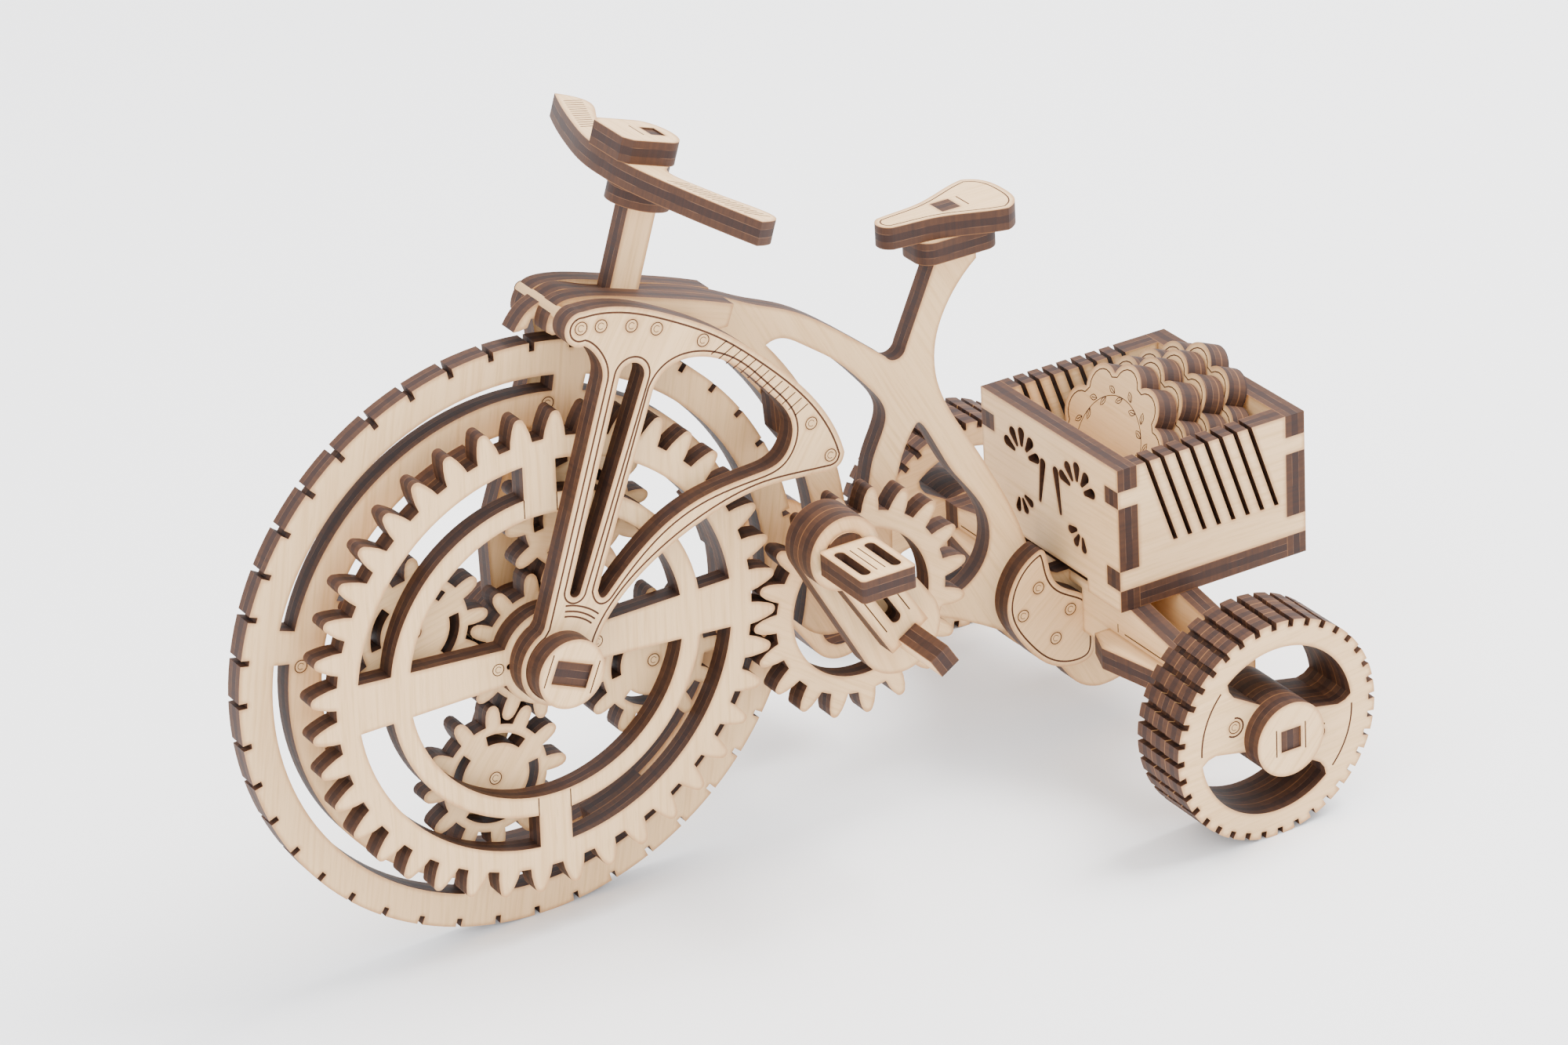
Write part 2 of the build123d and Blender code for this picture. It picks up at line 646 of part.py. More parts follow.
def pedal(is_left):
    """Round spindle in the drum and a level tread plate with two slots."""
    at = polar(CRANK_LEN, CRANK_DIR if is_left else CRANK_DIR + 180, DRIVE_AT)
    tread_len = TREAD_Y[1] - TREAD_Y[0]
    mid_y = (TREAD_Y[0] + TREAD_Y[1]) / 2 * (1 if is_left else -1)
    spindle_len = TREAD_Y[0] - CRANK_Y
    with BuildPart() as spindle:
        with BuildSketch(side(left_or_right(CRANK_Y, spindle_len, is_left))):
            with Locations(at):
                Circle(3.9 - FIT)
        extrude(amount=spindle_len)
    with BuildPart() as tread:
        with BuildSketch(level(at[1] - PLY / 2)):
            with Locations((at[0], -mid_y)):
                RectangleRounded(10.4, tread_len, 0.8)
                with Locations((-2.9, 0), (2.9, 0)):
                    SlotOverall(9.6, 1.9, rotation=90, mode=Mode.SUBTRACT)
        extrude(amount=PLY)
    return Compound(children=[spindle.part, tread.part])


keep(pedal_axle(), "pedal_axle")
keep(drive_gear(GEAR_Y), "drive_gear")
for hand, is_left in (("left", True), ("right", False)):
    keep(crank(is_left), f"crank_{hand}")
    keep(pedal(is_left), f"pedal_{hand}")

# ---------------------------------------------------------------- rear wheels

REAR_NOTCHES = 36
SPOKE_DIR = 159.0
REAR_PIN_R = 9.3
PLY_TWIST = 0.4
SPOKE_EDGE = [(0, 3.4), (11.4, 5.3), (12.7, 6.2), (13.6, 7.6), (15.8, 7.6)]
REAR_SPOKES = (SPOKE_EDGE + [(a, -b) for a, b in reversed(SPOKE_EDGE)]
               + [(-a, -b) for a, b in SPOKE_EDGE[1:]] + [(-a, b) for a, b in reversed(SPOKE_EDGE[1:])])


def rear_wheel(is_left):
    """Three notched sheets, each a hair out of line with the last."""
    sheets = []
    for ply in range(REAR_PLIES):
        y = left_or_right(REAR_Y + ply * PLY, PLY, is_left)
        with BuildPart() as sheet:
            with BuildSketch(side(y)):
                with Locations(REAR_AT):
                    Circle(REAR_R)
                    Circle(15.4, mode=Mode.SUBTRACT)
                    Circle(6.8)
                with Locations(Location(REAR_AT, SPOKE_DIR)):
                    Polygon(*REAR_SPOKES, align=None)
                with Locations(REAR_AT):
                    with PolarLocations(REAR_R, REAR_NOTCHES, start_angle=PLY_TWIST * ply):
                        Rectangle(2.6, 1.1, mode=Mode.SUBTRACT)
                with Locations(REAR_AT):
                    Rectangle(SQUARE, SQUARE, mode=Mode.SUBTRACT)
                    with PolarLocations(REAR_PIN_R, 2, start_angle=SPOKE_DIR):
                        Circle(PIN_R, mode=Mode.SUBTRACT)
            extrude(amount=PLY)
        sheets.append(sheet.part)
    return Compound(children=sheets)


def rear_cap(y):
    with BuildPart() as cap:
        with BuildSketch(side(y)):
            with Locations(REAR_AT):
                Circle(6.8)
                Rectangle(SQUARE, SQUARE, mode=Mode.SUBTRACT)
        extrude(amount=PLY)
    return cap.part


def rear_axle():
    """Square stick through both rear wheels, turning in round holes."""
    reach = REAR_Y + (REAR_PLIES + 1) * PLY - 0.3
    with BuildPart() as stick:
        with BuildSketch(side(-reach)):
            with Locations(REAR_AT):
                Rectangle(SQUARE, SQUARE)
        extrude(amount=2 * reach)
    return stick.part


def rear_pins():
    places = [polar(REAR_PIN_R, SPOKE_DIR + 180 * k, REAR_AT) for k in range(2)]
    length = REAR_PLIES * PLY
    both = [pins(places, left_or_right(REAR_Y, length, is_left),
                 left_or_right(REAR_Y, length, is_left) + length) for is_left in (True, False)]
    return Compound(children=both)


keep(rear_axle(), "rear_axle")
keep(rear_pins(), "rear_wheel_pins")
for hand, is_left in (("left", True), ("right", False)):
    keep(rear_wheel(is_left), f"rear_wheel_{hand}")
    keep(rear_cap(left_or_right(REAR_Y + REAR_PLIES * PLY, PLY, is_left)), f"rear_cap_{hand}")

# ---------------------------------------------------------------- rear bracket

BRACKET_LOW = -31.0
SHELF = [(106.4, 14.2), (103.4, 14.2), (101.3, 19.6), (103.9, 32.8), (104.6, HANGER_Y), (106.4, HANGER_Y)]


def bracket_panel(u):
    """Cross sheet under the basket, its ends sloping down to the wheels."""
    with BuildPart() as panel:
        with BuildSketch(cross(u)):
            Polygon((-HANGER_Y, BRACKET_LOW), (HANGER_Y, BRACKET_LOW), (HANGER_Y, -23.0),
                    (20.8, BASKET_Z[0]), (-20.8, BASKET_Z[0]), (-HANGER_Y, -23.0), align=None)
            with Locations((0, BRACKET_LOW)):
                Rectangle(2 * GEAR_Y, 17.0, mode=Mode.SUBTRACT)
            Rectangle(PLY, 60, mode=Mode.SUBTRACT)
        extrude(amount=-PLY)
    return panel.part


def shelves():
    """Level ledges in front of the front panel, one each side of the frame."""
    with BuildPart() as ledges:
        with BuildSketch(level(BRACKET_LOW)):
            Polygon(*SHELF, align=None)
            Polygon(*[(u, -y) for u, y in SHELF], align=None)
        extrude(amount=PLY)
    return ledges.part


def axle_hangers():
    """Bearing plates at the ends of the cross sheets, with round holes for the axle."""
    with BuildPart() as plates:
        for is_left in (True, False):
            with BuildSketch(side(left_or_right(HANGER_Y, PLY, is_left))):
                with Locations(REAR_AT):
                    Circle(7.0)
                Polygon((PANEL_U[0], -31.8), (PANEL_U[1] + PLY, -31.8), (PANEL_U[1] + PLY, -23.0),
                        (PANEL_U[0], -23.0), align=None)
                with Locations(REAR_AT):
                    Circle(BORE_R, mode=Mode.SUBTRACT)
            extrude(amount=PLY)
    return plates.part


# ---------------------------------------------------------------- basket

SIDE_LOW = BASKET_Z[0] + PLY
TABS = [(-0.8, 2.4), (-16.5, -12.8)]
SLOT_TOP_U, SLOT_LOW_U, SLOT_PITCH = 110.6, 116.0, 3.02


def tab_faces(mode):
    """The side panels' tabs where they pass through an end panel, as (y, z) rectangles."""
    for low, high in TABS:
        for way in (1, -1):
            with Locations((way * (BASKET_HALF - PLY / 2), (low + high) / 2)):
                Rectangle(PLY, high - low, mode=mode)


def basket_end(u, is_front):
    """Front or back panel of the basket; the front one is cut with fretwork."""
    middle = (BASKET_Z[0] + BASKET_Z[1]) / 2
    with BuildPart() as panel:
        with BuildSketch(cross(u)):
            with Locations((0, middle)):
                Rectangle(2 * BASKET_HALF, BASKET_Z[1] - BASKET_Z[0])
            tab_faces(Mode.SUBTRACT)
            if is_front:
                with Locations((0, BASKET_Z[0])):
                    Rectangle(22.0, 5.0, mode=Mode.SUBTRACT)
                fretwork()
        extrude(amount=-PLY)
    return panel.part


def fretwork():
    """Pierced leaf sprays: mirrored fans of drop-shaped holes on both halves."""
    for way in (1, -1):
        for k in range(5):
            angle = 20 + 35 * k
            inner = polar(2.6, angle, (8.6, -2.6))
            outer = polar(4.9, angle, (8.6, -2.6))
            shape = tapered_slot((way * inner[0], inner[1]), 0.45, (way * outer[0], outer[1]), 1.0)
            add(shape, mode=Mode.SUBTRACT)
        for k in range(3):
            angle = 200 + 40 * k
            inner = polar(1.8, angle, (9.6, -9.2))
            outer = polar(3.6, angle, (9.6, -9.2))
            shape = tapered_slot((way * inner[0], inner[1]), 0.4, (way * outer[0], outer[1]), 0.8)
            add(shape, mode=Mode.SUBTRACT)
        add(tapered_slot((way * 2.0, -1.0), 0.9, (way * 3.2, -8.6), 0.4), mode=Mode.SUBTRACT)


def basket_side(y):
    """Side panel with slanted slots open at the top and tabs into both end panels."""
    u0, u1 = BASKET_U
    with BuildPart() as panel:
        with BuildSketch(side(y)):
            Polygon((u0 + PLY, SIDE_LOW), (u1 - PLY, SIDE_LOW), (u1 - PLY, BASKET_Z[1]),
                    (u0 + PLY, BASKET_Z[1]), align=None)
            for low, high in TABS:
                Polygon((u0, low), (u1, low), (u1, high), (u0, high), align=None)
            for k in range(8):
                top, foot = SLOT_TOP_U + SLOT_PITCH * k, SLOT_LOW_U + SLOT_PITCH * k
                Polygon((top - 0.65, 7.1), (foot - 0.45, -9.8), (foot + 0.45, -9.8), (top + 0.25, 7.1),
                        align=None, mode=Mode.SUBTRACT)
        extrude(amount=PLY)
    return panel.part


def basket_floor():
    with BuildPart() as floor:
        with BuildSketch(level(BASKET_Z[0])):
            with Locations(((BASKET_U[0] + BASKET_U[1]) / 2, 0)):
                Rectangle(BASKET_U[1] - BASKET_U[0] - 2 * PLY, 2 * BASKET_HALF)
        extrude(amount=PLY)
    return floor.part


DISC_R, DISC_LEAN, DISC_LOBES, LOBE_R = 15.2, 22.0, 10, 4.2
DISC_COUNT, DISC_PITCH, DISC_FOOT_U = 4, 4.9, 110.9


def basket_discs():
    """Four scalloped discs standing in the basket, leaning back."""
    lean = radians(DISC_LEAN)
    height = SIDE_LOW + DISC_R * cos(lean) + PLY * sin(lean) + 0.05
    discs = []
    for k in range(DISC_COUNT):
        centre = (-(DISC_FOOT_U + DISC_PITCH * k + DISC_R * sin(lean)), 0, height)
        plane = Plane(origin=centre, x_dir=(0, 1, 0), z_dir=(-cos(lean), 0, -sin(lean)))
        with BuildPart() as disc:
            with BuildSketch(plane):
                Circle(DISC_R - 3.0)
                with PolarLocations(DISC_R - LOBE_R, DISC_LOBES, start_angle=180 / DISC_LOBES):
                    Circle(LOBE_R)
            extrude(amount=PLY)
        discs.append(disc.part)
    return Compound(children=discs)


keep(bracket_panel(PANEL_U[0]), "bracket_front")
keep(bracket_panel(PANEL_U[1]), "bracket_rear")
keep(shelves(), "bracket_shelves")
keep(axle_hangers(), "axle_hangers")
keep(basket_end(BASKET_U[0], True), "basket_front")
keep(basket_end(BASKET_U[1] - PLY, False), "basket_back")
for hand, is_left in (("left", True), ("right", False)):
    keep(basket_side(left_or_right(BASKET_HALF - PLY, PLY, is_left)), f"basket_side_{hand}")
keep(basket_floor(), "basket_floor")
keep(basket_discs(), "basket_discs")
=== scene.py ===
import math
import random

import bmesh
import bpy
from mathutils import Matrix, Vector


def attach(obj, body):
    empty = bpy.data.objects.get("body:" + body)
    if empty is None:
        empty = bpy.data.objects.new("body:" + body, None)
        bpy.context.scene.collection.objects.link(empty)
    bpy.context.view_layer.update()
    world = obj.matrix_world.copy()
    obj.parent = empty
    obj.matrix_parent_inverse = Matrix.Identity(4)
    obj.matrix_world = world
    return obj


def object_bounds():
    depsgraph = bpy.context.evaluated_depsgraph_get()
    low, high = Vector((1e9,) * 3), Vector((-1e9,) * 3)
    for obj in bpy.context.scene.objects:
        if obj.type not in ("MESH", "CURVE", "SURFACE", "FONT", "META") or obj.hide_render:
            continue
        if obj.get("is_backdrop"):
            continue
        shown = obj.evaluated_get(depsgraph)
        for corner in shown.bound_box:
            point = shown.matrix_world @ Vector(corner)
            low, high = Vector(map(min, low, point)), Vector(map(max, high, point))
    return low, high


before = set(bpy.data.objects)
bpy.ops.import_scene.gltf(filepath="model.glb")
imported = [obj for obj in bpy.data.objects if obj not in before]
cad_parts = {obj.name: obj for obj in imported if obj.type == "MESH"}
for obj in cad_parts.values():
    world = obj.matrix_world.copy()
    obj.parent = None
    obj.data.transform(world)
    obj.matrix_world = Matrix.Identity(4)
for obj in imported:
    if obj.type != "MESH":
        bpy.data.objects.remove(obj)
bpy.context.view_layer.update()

# ------------------------------------------------------------------ the board
# The whole model is pressed out of 4 mm birch plywood, three veneers thick. The laser leaves the
# faces pale with an amber rim, and burns the cut edges dark brown, with paler lines at the glue.

MM = 0.001
PLY = 4.0 * MM
GLUE_AT = 0.175  # distance of a glue line from mid-thickness, as a share of the sheet
rng = random.Random(7)


class Tree:
    """A node tree that is filled in by short calls."""

    def __init__(self, tree):
        self.tree = tree

    def node(self, kind, settings=None, **inputs):
        made = self.tree.nodes.new(kind)
        for key, value in (settings or {}).items():
            setattr(made, key, value)
        for key, value in inputs.items():
            self.plug(made, key, value)
        return made

    def plug(self, made, key, value):
        socket = made.inputs[int(key[1:])] if key[0] == "i" and key[1:].isdigit() else made.inputs[key]
        if isinstance(value, bpy.types.NodeSocket):
            self.tree.links.new(value, socket)
        else:
            socket.default_value = value

    def math(self, operation, a, b=0.0, c=0.0):
        return self.node("ShaderNodeMath", {"operation": operation}, i0=a, i1=b, i2=c).outputs[0]

    def vector(self, operation, a, b=(0, 0, 0)):
        made = self.node("ShaderNodeVectorMath", {"operation": operation}, i0=a, i1=b)
        return made.outputs["Value"] if operation == "DOT_PRODUCT" else made.outputs["Vector"]

    def scale(self, a, factor):
        made = self.node("ShaderNodeVectorMath", {"operation": "SCALE"}, i0=a)
        self.plug(made, "Scale", factor)
        return made.outputs["Vector"]

    def mix(self, factor, a, b):
        made = self.node("ShaderNodeMix", {"data_type": "RGBA"})
        for index, value in ((0, factor), (6, a), (7, b)):
            self.plug(made, f"i{index}", value)
        return made.outputs[2]

    def step(self, value, low, high):
        """0 below low, 1 above high, smooth between."""
        smooth = {"interpolation_type": "SMOOTHSTEP"}
        return self.node("ShaderNodeMapRange", smooth, i0=value, i1=low, i2=high).outputs[0]

    def noise(self, vector, scale, detail=2.0, rough=0.5):
        made = self.node("ShaderNodeTexNoise", None, Vector=vector, Scale=scale, Detail=detail)
        self.plug(made, "Roughness", rough)
        return made.outputs["Fac"]


def ply_group():
    """Colour, roughness and height of cut plywood, from the sheet's normal and where it starts."""
    group = bpy.data.node_groups.new("cut_birch_ply", "ShaderNodeTree")
    face = group.interface
    for name, kind, value in (("Normal axis", "NodeSocketVector", (0, 1, 0)),
                              ("Grain axis", "NodeSocketVector", (1, 0, 0)),
                              ("Start", "NodeSocketFloat", 0.0), ("Seed", "NodeSocketFloat", 0.0),
                              ("Tone", "NodeSocketFloat", 0.5), ("Burn", "NodeSocketFloat", 1.0)):
        face.new_socket(name, in_out="INPUT", socket_type=kind).default_value = value
    for name, kind in (("Colour", "NodeSocketColor"), ("Roughness", "NodeSocketFloat"),
                       ("Height", "NodeSocketFloat")):
        face.new_socket(name, in_out="OUTPUT", socket_type=kind)
    t = Tree(group)
    given = t.node("NodeGroupInput").outputs
    coords = t.node("ShaderNodeTexCoord").outputs
    place, axis, grain = coords["Object"], given["Normal axis"], given["Grain axis"]

    # Face or cut edge
    facing = t.math("ABSOLUTE", t.vector("DOT_PRODUCT", coords["Normal"], axis))
    is_face = t.step(facing, 0.62, 0.78)

    # Grain of the face veneer: long streaks, fine pores and a slow drift of tone
    across = t.vector("CROSS_PRODUCT", axis, grain)
    seed = given["Seed"]
    long_way = t.vector("DOT_PRODUCT", place, grain)
    cross_way = t.vector("DOT_PRODUCT", place, across)
    shift = t.node("ShaderNodeCombineXYZ", None, i0=seed).outputs[0]
    wander = t.noise(t.vector("ADD", t.scale(place, 40.0), shift), 1.0)
    bent = t.math("MULTIPLY_ADD", wander, 0.0016, cross_way)
    streak_at = t.node("ShaderNodeCombineXYZ", None, i0=t.math("MULTIPLY", long_way, 55.0),
                       i1=t.math("MULTIPLY", bent, 1500.0), i2=seed).outputs[0]
    pore_at = t.node("ShaderNodeCombineXYZ", None, i0=t.math("MULTIPLY", long_way, 260.0),
                     i1=t.math("MULTIPLY", bent, 3600.0), i2=seed).outputs[0]
    streak = t.noise(streak_at, 1.0, 3.0, 0.55)
    pore = t.noise(pore_at, 1.0, 1.0, 0.4)
    drift = t.noise(t.vector("ADD", t.scale(place, 28.0), streak_at), 0.35, 1.0)
    pale = t.mix(drift, (0.800, 0.545, 0.290, 1), (0.710, 0.455, 0.225, 1))
    warm = t.mix(t.math("MULTIPLY", t.step(streak, 0.42, 0.75), 0.6), pale, (0.580, 0.345, 0.150, 1))
    toned = t.mix(t.math("MULTIPLY", given["Tone"], 0.45), warm, (0.500, 0.290, 0.125, 1))
    face_colour = t.mix(t.math("MULTIPLY", t.step(pore, 0.60, 0.74), 0.22), toned, (0.460, 0.270, 0.125, 1))

    # Amber rim where the laser scorched the face beside the cut
    inside = t.node("ShaderNodeAmbientOcclusion", {"samples": 6, "inside": True, "only_local": True},
                    Distance=0.9 * MM).outputs["AO"]
    uneven = t.noise(place, 260.0, 2.0)
    near = t.math("SUBTRACT", 1.0, t.step(t.math("MULTIPLY_ADD", uneven, 0.22, inside), 0.70, 1.06))
    rim = t.math("MULTIPLY", t.math("MULTIPLY", near, 0.62), given["Burn"])
    face_colour = t.mix(rim, face_colour, (0.330, 0.140, 0.045, 1))

    # Cut edge: three veneers, glue lines, streaks burnt across the thickness, and a painted highlight along
    # both corners
    through = t.math("SUBTRACT", t.vector("DOT_PRODUCT", place, axis), given["Start"])
    depth = t.math("FRACT", t.math("DIVIDE", through, PLY))
    off_centre = t.math("ABSOLUTE", t.math("SUBTRACT", depth, 0.5))
    flat_part = t.scale(axis, t.vector("DOT_PRODUCT", place, axis))
    along = t.vector("SUBTRACT", place, flat_part)
    burnt_at = t.vector("ADD", t.scale(along, 1500.0), t.scale(flat_part, 120.0))
    burnt = t.noise(burnt_at, 1.0, 2.0, 0.6)
    patch = t.noise(t.vector("ADD", t.scale(along, 210.0), t.scale(flat_part, 300.0)), 1.0, 2.0)
    outer = t.step(t.math("MULTIPLY_ADD", patch, 0.05, off_centre), 0.170, 0.215)
    core = t.mix(burnt, (0.012, 0.005, 0.004, 1), (0.045, 0.017, 0.010, 1))
    skin = t.mix(burnt, (0.025, 0.009, 0.005, 1), (0.085, 0.033, 0.014, 1))
    edge_colour = t.mix(outer, core, skin)
    from_glue = t.math("ABSOLUTE", t.math("SUBTRACT", off_centre, GLUE_AT))
    glue = t.math("SUBTRACT", 1.0, t.step(from_glue, 0.004, 0.014))
    glue = t.math("MULTIPLY", glue, t.step(patch, 0.42, 0.60))
    edge_colour = t.mix(t.math("MULTIPLY", glue, 0.5), edge_colour, (0.240, 0.120, 0.060, 1))
    # Painted highlight: a lighter band along both corners of the cut edge, where it meets the faces
    painted_corner_highlight = t.step(off_centre, 0.455, 0.500)
    edge_colour = t.mix(t.math("MULTIPLY", painted_corner_highlight, 0.55), edge_colour, (0.300, 0.130, 0.045, 1))
    unburnt = t.mix(t.math("SUBTRACT", 1.0, given["Burn"]), edge_colour, face_colour)

    out = t.node("NodeGroupOutput")
    t.plug(out, "Colour", t.mix(is_face, unburnt, face_colour))
    edge_roughness = t.math("MULTIPLY_ADD", burnt, 0.14, 0.62)
    t.plug(out, "Roughness", t.math("MULTIPLY_ADD", is_face, -0.13, edge_roughness))
    face_height = t.math("MULTIPLY_ADD", pore, -0.35, t.math("MULTIPLY", streak, 0.5))
    edge_height = t.math("MULTIPLY_ADD", glue, 0.5, t.math("MULTIPLY", burnt, 1.6))
    height = t.node("ShaderNodeMix", {"data_type": "FLOAT"}, i0=is_face, i2=edge_height, i3=face_height)
    t.plug(out, "Height", height.outputs[0])
    return group


PLY_GROUP = ply_group()
SIDEWAYS, UPRIGHT, FORWARD = Vector((0, 1, 0)), Vector((0, 0, 1)), Vector((1, 0, 0))


def birch(name, axis=SIDEWAYS, grain=FORWARD, start=-2.0, tone=0.3, burn=1.0):
    """Material of one sheet; start is where any face of the stack lies along the axis, in mm."""
    made = bpy.data.materials.new(name)
    made.use_nodes = True
    t = Tree(made.node_tree)
    shader = made.node_tree.nodes["Principled BSDF"]
    group = t.node("ShaderNodeGroup", {"node_tree": PLY_GROUP})
    values = {"Normal axis": axis, "Grain axis": grain, "Start": start * MM, "Seed": rng.uniform(0, 90),
              "Tone": tone, "Burn": burn}
    for key, value in values.items():
        t.plug(group, key, value)
    bump = t.node("ShaderNodeBump", None, Height=group.outputs["Height"], Strength=0.35, Distance=0.05 * MM)
    t.plug(shader, "Base Color", group.outputs["Colour"])
    t.plug(shader, "Roughness", group.outputs["Roughness"])
    t.plug(shader, "Normal", bump.outputs[0])
    shader.inputs["Specular IOR Level"].default_value = 0.32
    return made


def finish_nodes(names, **settings):
    """Gives each CAD node its own cut of the board."""
    for name in names:
        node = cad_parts[name]
        material = birch(f"{name}_birch", **settings)
        node.data.materials.clear()
        node.data.materials.append(material)


def turned(degrees_up, length=1.0):
    """Direction in a side view, degrees_up from rearward towards up."""
    angle = math.radians(degrees_up)
    return Vector((-math.cos(angle), 0, math.sin(angle))) * length



class Face:
    """A drawing plane on a sheet's face: x, y in millimetres, and the outward normal."""

    def __init__(self, origin, right, up):
        self.origin = Vector(origin) * MM
        self.right, self.up = Vector(right).normalized(), Vector(up).normalized()
        self.out = self.right.cross(self.up)

    def at(self, x, y, lift=0.0):
        return self.origin + (self.right * x + self.up * y + self.out * lift) * MM

    def flat(self, point):
        offset = point - self.origin
        return Vector((offset.dot(self.right) / MM, offset.dot(self.up) / MM))


def side_face(y, outward):
    """Face of a side sheet: x rearward as seen from the rider's left, y up."""
    face = Face((0, y, 0), (-1, 0, 0), (0, 0, 1))
    if outward < 0:
        face.out = Vector((0, -1, 0))
    return face


# A laser line is burnt a little into the face. Each is a thin dark strip set into the surface.
LINE_W, LINE_SINK, LINE_PROUD = 0.32, 0.06, 0.025


def engraved_material():
    made = bpy.data.materials.new("engraved_line")
    made.use_nodes = True
    t = Tree(made.node_tree)
    shader = made.node_tree.nodes["Principled BSDF"]
    place = t.node("ShaderNodeTexCoord").outputs["Object"]
    fleck = t.noise(place, 900.0, 2.0)
    colour = t.mix(fleck, (0.030, 0.011, 0.006, 1), (0.095, 0.036, 0.016, 1))
    t.plug(shader, "Base Color", colour)
    t.plug(shader, "Roughness", t.math("MULTIPLY_ADD", fleck, 0.2, 0.65))
    shader.inputs["Specular IOR Level"].default_value = 0.2
    return made


LINE_MATERIAL = engraved_material()


class Engraving:
    """Collects the burnt lines of one piece and makes them one mesh."""

    def __init__(self, name, body):
        self.name, self.body = name, body
        self.verts, self.faces = [], []

    def line(self, face, points, width=LINE_W, closed=False):
        points = [Vector(p) for p in points]
        count = len(points)
        if count < 2:
            return
        base = len(self.verts)
        for index, point in enumerate(points):
            before = points[index - 1] if index or closed else points[0]
            after = points[(index + 1) % count] if index < count - 1 or closed else points[-1]
            run = (after - before)
            if run.length < 1e-6:
                run = Vector((1, 0))
            side = Vector((-run.y, run.x)).normalized() * width / 2
            for spot, lift in ((point + side, LINE_PROUD), (point - side, LINE_PROUD),
                               (point - side, -LINE_SINK), (point + side, -LINE_SINK)):
                self.verts.append(face.at(spot.x, spot.y, lift))
        for index in range(count if closed else count - 1):
            a, b = base + 4 * index, base + 4 * ((index + 1) % count)
            for k in range(4):
                self.faces.append((a + k, a + (k + 1) % 4, b + (k + 1) % 4, b + k))
        if not closed:
            end = base + 4 * (count - 1)
            self.faces.append((base + 3, base + 2, base + 1, base))
            self.faces.append((end, end + 1, end + 2, end + 3))

    def arc(self, face, centre, radius, start, stop, width=LINE_W):
        whole = abs(stop - start) >= 360
        steps = max(6, int(abs(stop - start) / 360 * max(20, radius * 9)))
        count = steps if whole else steps + 1
        angles = [math.radians(start + (stop - start) * k / steps) for k in range(count)]
        points = [(centre[0] + radius * math.cos(a), centre[1] + radius * math.sin(a)) for a in angles]
        self.line(face, points, width, closed=whole)

    def make(self):
        mesh = bpy.data.meshes.new(self.name)
        mesh.from_pydata(self.verts, [], self.faces)
        mesh.update()
        piece = bpy.data.objects.new(self.name, mesh)
        bpy.context.collection.objects.link(piece)
        bm_fix_normals(mesh)
        mesh.materials.append(LINE_MATERIAL)
        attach(piece, self.body)
        return piece


def bm_fix_normals(mesh):
    """Turns every face of a closed mesh outward."""
    work = bmesh.new()
    work.from_mesh(mesh)
    bmesh.ops.recalc_face_normals(work, faces=work.faces)
    work.to_mesh(mesh)
    work.free()


def face_loops(node, face, reach=0.03):
    """Outlines of a node's flat face in the drawing plane, each with the sheet on its left."""
    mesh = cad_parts[node].data
    key = {}
    edges = {}
    for polygon in mesh.polygons:
        if polygon.normal.dot(face.out) < 0.99:
            continue
        spots = [mesh.vertices[i].co for i in polygon.vertices]
        if abs((spots[0] - face.origin).dot(face.out)) > reach * MM:
            continue
        names = []
        for spot in spots:
            flat = face.flat(spot)
            name = (round(flat.x, 3), round(flat.y, 3))
            key[name] = flat
            names.append(name)
        if face.right.cross(face.up).dot(face.out) < 0:
            names.reverse()
        for a, b in zip(names, names[1:] + names[:1]):
            if (b, a) in edges:
                del edges[(b, a)]
            else:
                edges[(a, b)] = True
    following = {a: b for a, b in edges}
    loops = []
    while following:
        start = here = next(iter(following))
        loop = []
        while here in following:
            loop.append(key[here])
            here = following.pop(here)
        if len(loop) > 3 and here == start:
            loops.append(loop)
    return loops


def evenly(loop, spacing=0.45):
    points = []
    for a, b in zip(loop, loop[1:] + loop[:1]):
        parts = max(1, int((b - a).length / spacing))
        points += [a.lerp(b, k / parts) for k in range(parts)]
    return points


def inset_lines(loops, inset, shortest=12.0):
    """Lines that follow each outline a little inside it, broken where two outlines come close."""
    walls = [evenly(loop) for loop in loops]
    lengths = [sum((b - a).length for a, b in zip(wall, wall[1:] + wall[:1])) for wall in walls]
    walls = [wall for wall, length in zip(walls, lengths) if length >= shortest]
    every = [p for wall in walls for p in wall]
    cells = {}
    for p in every:
        cells.setdefault((int(p.x // 2), int(p.y // 2)), []).append(p)

    def clear(p):
        for i in (-1, 0, 1):
            for j in (-1, 0, 1):
                for q in cells.get((int(p.x // 2) + i, int(p.y // 2) + j), ()):
                    if (p - q).length < inset - 0.10:
                        return False
        return True

    runs = []
    for wall in walls:
        moved = []
        for k, point in enumerate(wall):
            run = wall[(k + 1) % len(wall)] - wall[k - 1]
            if run.length < 1e-6:
                continue
            moved.append(point + Vector((-run.y, run.x)).normalized() * inset)
        kept = [clear(p) for p in moved]
        if all(kept):
            runs.append((moved, True))
            continue
        first = kept.index(False)
        order = list(range(first, len(moved))) + list(range(first))
        line = []
        for k in order:
            if kept[k]:
                if line and (moved[k] - line[-1]).length > 1.6:
                    runs.append((line, False))
                    line = []
                line.append(moved[k])
        runs.append((line, False))
    return [(line, closed) for line, closed in runs if len(line) > 3]


def pin_rings(engraving, face, places, radius=1.05):
    """The dark joint round the end of each pressed-in pin."""
    for place in places:
        engraving.arc(face, place, radius + 0.03, 0, 360, 0.17)
        engraving.arc(face, place, radius * 0.52, 20, 300, 0.10)


def around(radius, angle, about=(0, 0)):
    turn = math.radians(angle)
    return (about[0] + radius * math.cos(turn), about[1] + radius * math.sin(turn))


# ------------------------------------------------------------------ front wheel
# The tyre is one notched sheet with a toothed ring on its left. The planets sit between them on
# pins, and mesh with a sun gear that the flat axle holds still.

